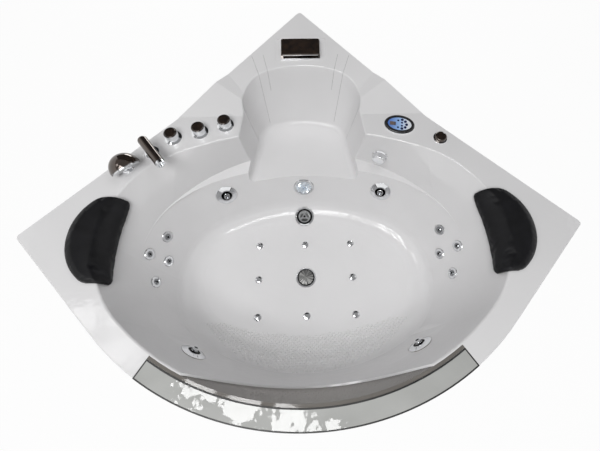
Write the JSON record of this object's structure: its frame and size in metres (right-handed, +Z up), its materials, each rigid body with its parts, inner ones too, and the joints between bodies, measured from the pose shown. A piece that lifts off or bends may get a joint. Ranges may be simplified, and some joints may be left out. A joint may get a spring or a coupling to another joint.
{
  "type": "jetted bathtub",
  "caption": "Corner jetted bath with curved front, corner seat, glazed front rim, head pillows, jets, deck taps, hand shower, waterfall spout, control panel and pump below.",
  "frame": {"origin": "centre of the bounding box on the floor under the feet", "axes": "+X from the taps side to the panel side, +Y to the wall corner, +Z up"},
  "size_m": [1.9682, 1.5862, 0.675],
  "materials": {
    "acrylic": "glossy white acrylic",
    "panel_acrylic": "glossy white apron sheet",
    "tinted_glass": "grey-tinted glass",
    "dark_glass": "brown-grey tinted glass",
    "seal": "dark seal",
    "frame_steel": "grey painted steel tube",
    "foot_plastic": "black plastic feet",
    "pillow": "soft black padded skin",
    "chrome": "polished chrome",
    "dark_mirror": "dark mirror-black cap",
    "black_plastic": "black plastic",
    "pipe": "pale grey pipe",
    "brass": "plain brass valve bodies",
    "motor": "grey cast motor housing",
    "face_blue": "blue to white panel face",
    "display": "brown display glass",
    "button": "dark navy push button",
    "lens": "faceted clear lens",
    "box_plastic": "grey plastic housing"
  },
  "bodies": {
    "bath": {"tub_shell": "acrylic", "window_pane": "dark_glass", "rim_cap_plate": "tinted_glass", "cap_seal": "seal", "front_apron": "panel_acrylic", "frame_tubes": "frame_steel", "levelling_feet": "foot_plastic", "pillow_left": "pillow", "pillow_right": "pillow", "waterfall_hood": "dark_mirror", "waterfall_body": "chrome", "bath_spout": "dark_mirror", "spout_post": "chrome", "spout_outlet": "chrome", "shower_socket": "chrome", "knob_flanges": "chrome", "valve_bodies": "brass", "deck_nuts": "black_plastic", "panel_bezel": "black_plastic", "panel_face": "face_blue", "panel_display": "display", "air_valve_body": "chrome", "overflow_rose": "chrome", "overflow_box": "pipe", "waste_pipe": "pipe", "drain_flange": "chrome", "jet_rings": "chrome", "jet_bodies": "pipe", "back_jets": "chrome", "floor_air_jets": "chrome", "suction_cover": "chrome", "suction_pipe": "pipe", "light_housing": "chrome", "light_lens": "lens", "pump_wet_end": "black_plastic", "pump_motor": "motor", "air_blower": "box_plastic", "control_box": "box_plastic", "water_pipe": "pipe", "air_pipe": "pipe"},
    "hot_handle": {"hot_knob": "chrome", "hot_knob_cap": "dark_mirror"},
    "cold_handle": {"cold_knob": "chrome", "cold_knob_cap": "dark_mirror"},
    "diverter_handle": {"diverter_knob": "chrome", "diverter_knob_cap": "dark_mirror"},
    "air_dial": {"air_knob": "dark_mirror"},
    "overflow_dial": {"overflow_knob": "chrome"},
    "plug": {"drain_plug": "chrome"},
    "hand_shower": {"shower_head": "dark_mirror", "shower_face": "chrome"},
    "eyeball_back_left": {"jet_nozzle_back_left": "chrome"},
    "eyeball_back_right": {"jet_nozzle_back_right": "chrome"},
    "eyeball_front_left": {"jet_nozzle_front_left": "chrome"},
    "eyeball_front_right": {"jet_nozzle_front_right": "chrome"},
    "button_1": {"panel_button_1": "button"},
    "button_2": {"panel_button_2": "button"},
    "button_3": {"panel_button_3": "button"},
    "button_4": {"panel_button_4": "button"},
    "button_5": {"panel_button_5": "button"}
  },
  "joints": [
    {"name": "hot_turn", "type": "hinge", "parent": "bath", "child": "hot_handle", "pos_m": [-0.50498, 0.20386, 0.585], "axis": [0, 0, 1], "range_deg": [0, 90]},
    {"name": "cold_turn", "type": "hinge", "parent": "bath", "child": "cold_handle", "pos_m": [-0.40404, 0.22892, 0.585], "axis": [0, 0, 1], "range_deg": [0, 90]},
    {"name": "diverter_turn", "type": "hinge", "parent": "bath", "child": "diverter_handle", "pos_m": [-0.30604, 0.26098, 0.585], "axis": [0, 0, 1], "range_deg": [-60, 60]},
    {"name": "air_turn", "type": "hinge", "parent": "bath", "child": "air_dial", "pos_m": [0.54502, 0.17992, 0.585], "axis": [0, 0, 1], "range_deg": [0, 180]},
    {"name": "overflow_turn", "type": "hinge", "parent": "bath", "child": "overflow_dial", "pos_m": [0.3242, 0.1672, 0.48742], "axis": [-0.3886, -0.9214, 0], "range_deg": [0, 90]},
    {"name": "plug_lift", "type": "slide", "parent": "bath", "child": "plug", "axis": [0, 0, 1], "range_m": [0, 0.0101]},
    {"name": "shower_lift", "type": "slide", "parent": "bath", "child": "hand_shower", "axis": [0, 0, 1], "range_m": [0, 0.25]},
    {"name": "swivel_back_left", "type": "hinge", "parent": "bath", "child": "eyeball_back_left", "pos_m": [-0.34747, 0.07862, 0.34231], "axis": [0.9363, 0.3511, 0], "range_deg": [-15, 15]},
    {"name": "swivel_back_right", "type": "hinge", "parent": "bath", "child": "eyeball_back_right", "pos_m": [0.34747, 0.07862, 0.34231], "axis": [0.9363, -0.3511, 0], "range_deg": [-15, 15]},
    {"name": "swivel_front_left", "type": "hinge", "parent": "bath", "child": "eyeball_front_left", "pos_m": [-0.40831, -0.58407, 0.40101], "axis": [-0.8619, 0.507, 0], "range_deg": [-15, 15]},
    {"name": "swivel_front_right", "type": "hinge", "parent": "bath", "child": "eyeball_front_right", "pos_m": [0.40831, -0.58407, 0.40101], "axis": [-0.8619, -0.507, 0], "range_deg": [-15, 15]},
    {"name": "press_1", "type": "slide", "parent": "bath", "child": "button_1", "axis": [0, 0, -1], "range_m": [0, 0.0008], "stiffness_N_per_m": 300},
    {"name": "press_2", "type": "slide", "parent": "bath", "child": "button_2", "axis": [0, 0, -1], "range_m": [0, 0.0008], "stiffness_N_per_m": 300},
    {"name": "press_3", "type": "slide", "parent": "bath", "child": "button_3", "axis": [0, 0, -1], "range_m": [0, 0.0008], "stiffness_N_per_m": 300},
    {"name": "press_4", "type": "slide", "parent": "bath", "child": "button_4", "axis": [0, 0, -1], "range_m": [0, 0.0008], "stiffness_N_per_m": 300},
    {"name": "press_5", "type": "slide", "parent": "bath", "child": "button_5", "axis": [0, 0, -1], "range_m": [0, 0.0008], "stiffness_N_per_m": 300}
  ],
  "couplings": [
    {"joint": "plug_lift", "follows": "overflow_turn", "m_per_rad": 0.0063662}
  ]
}
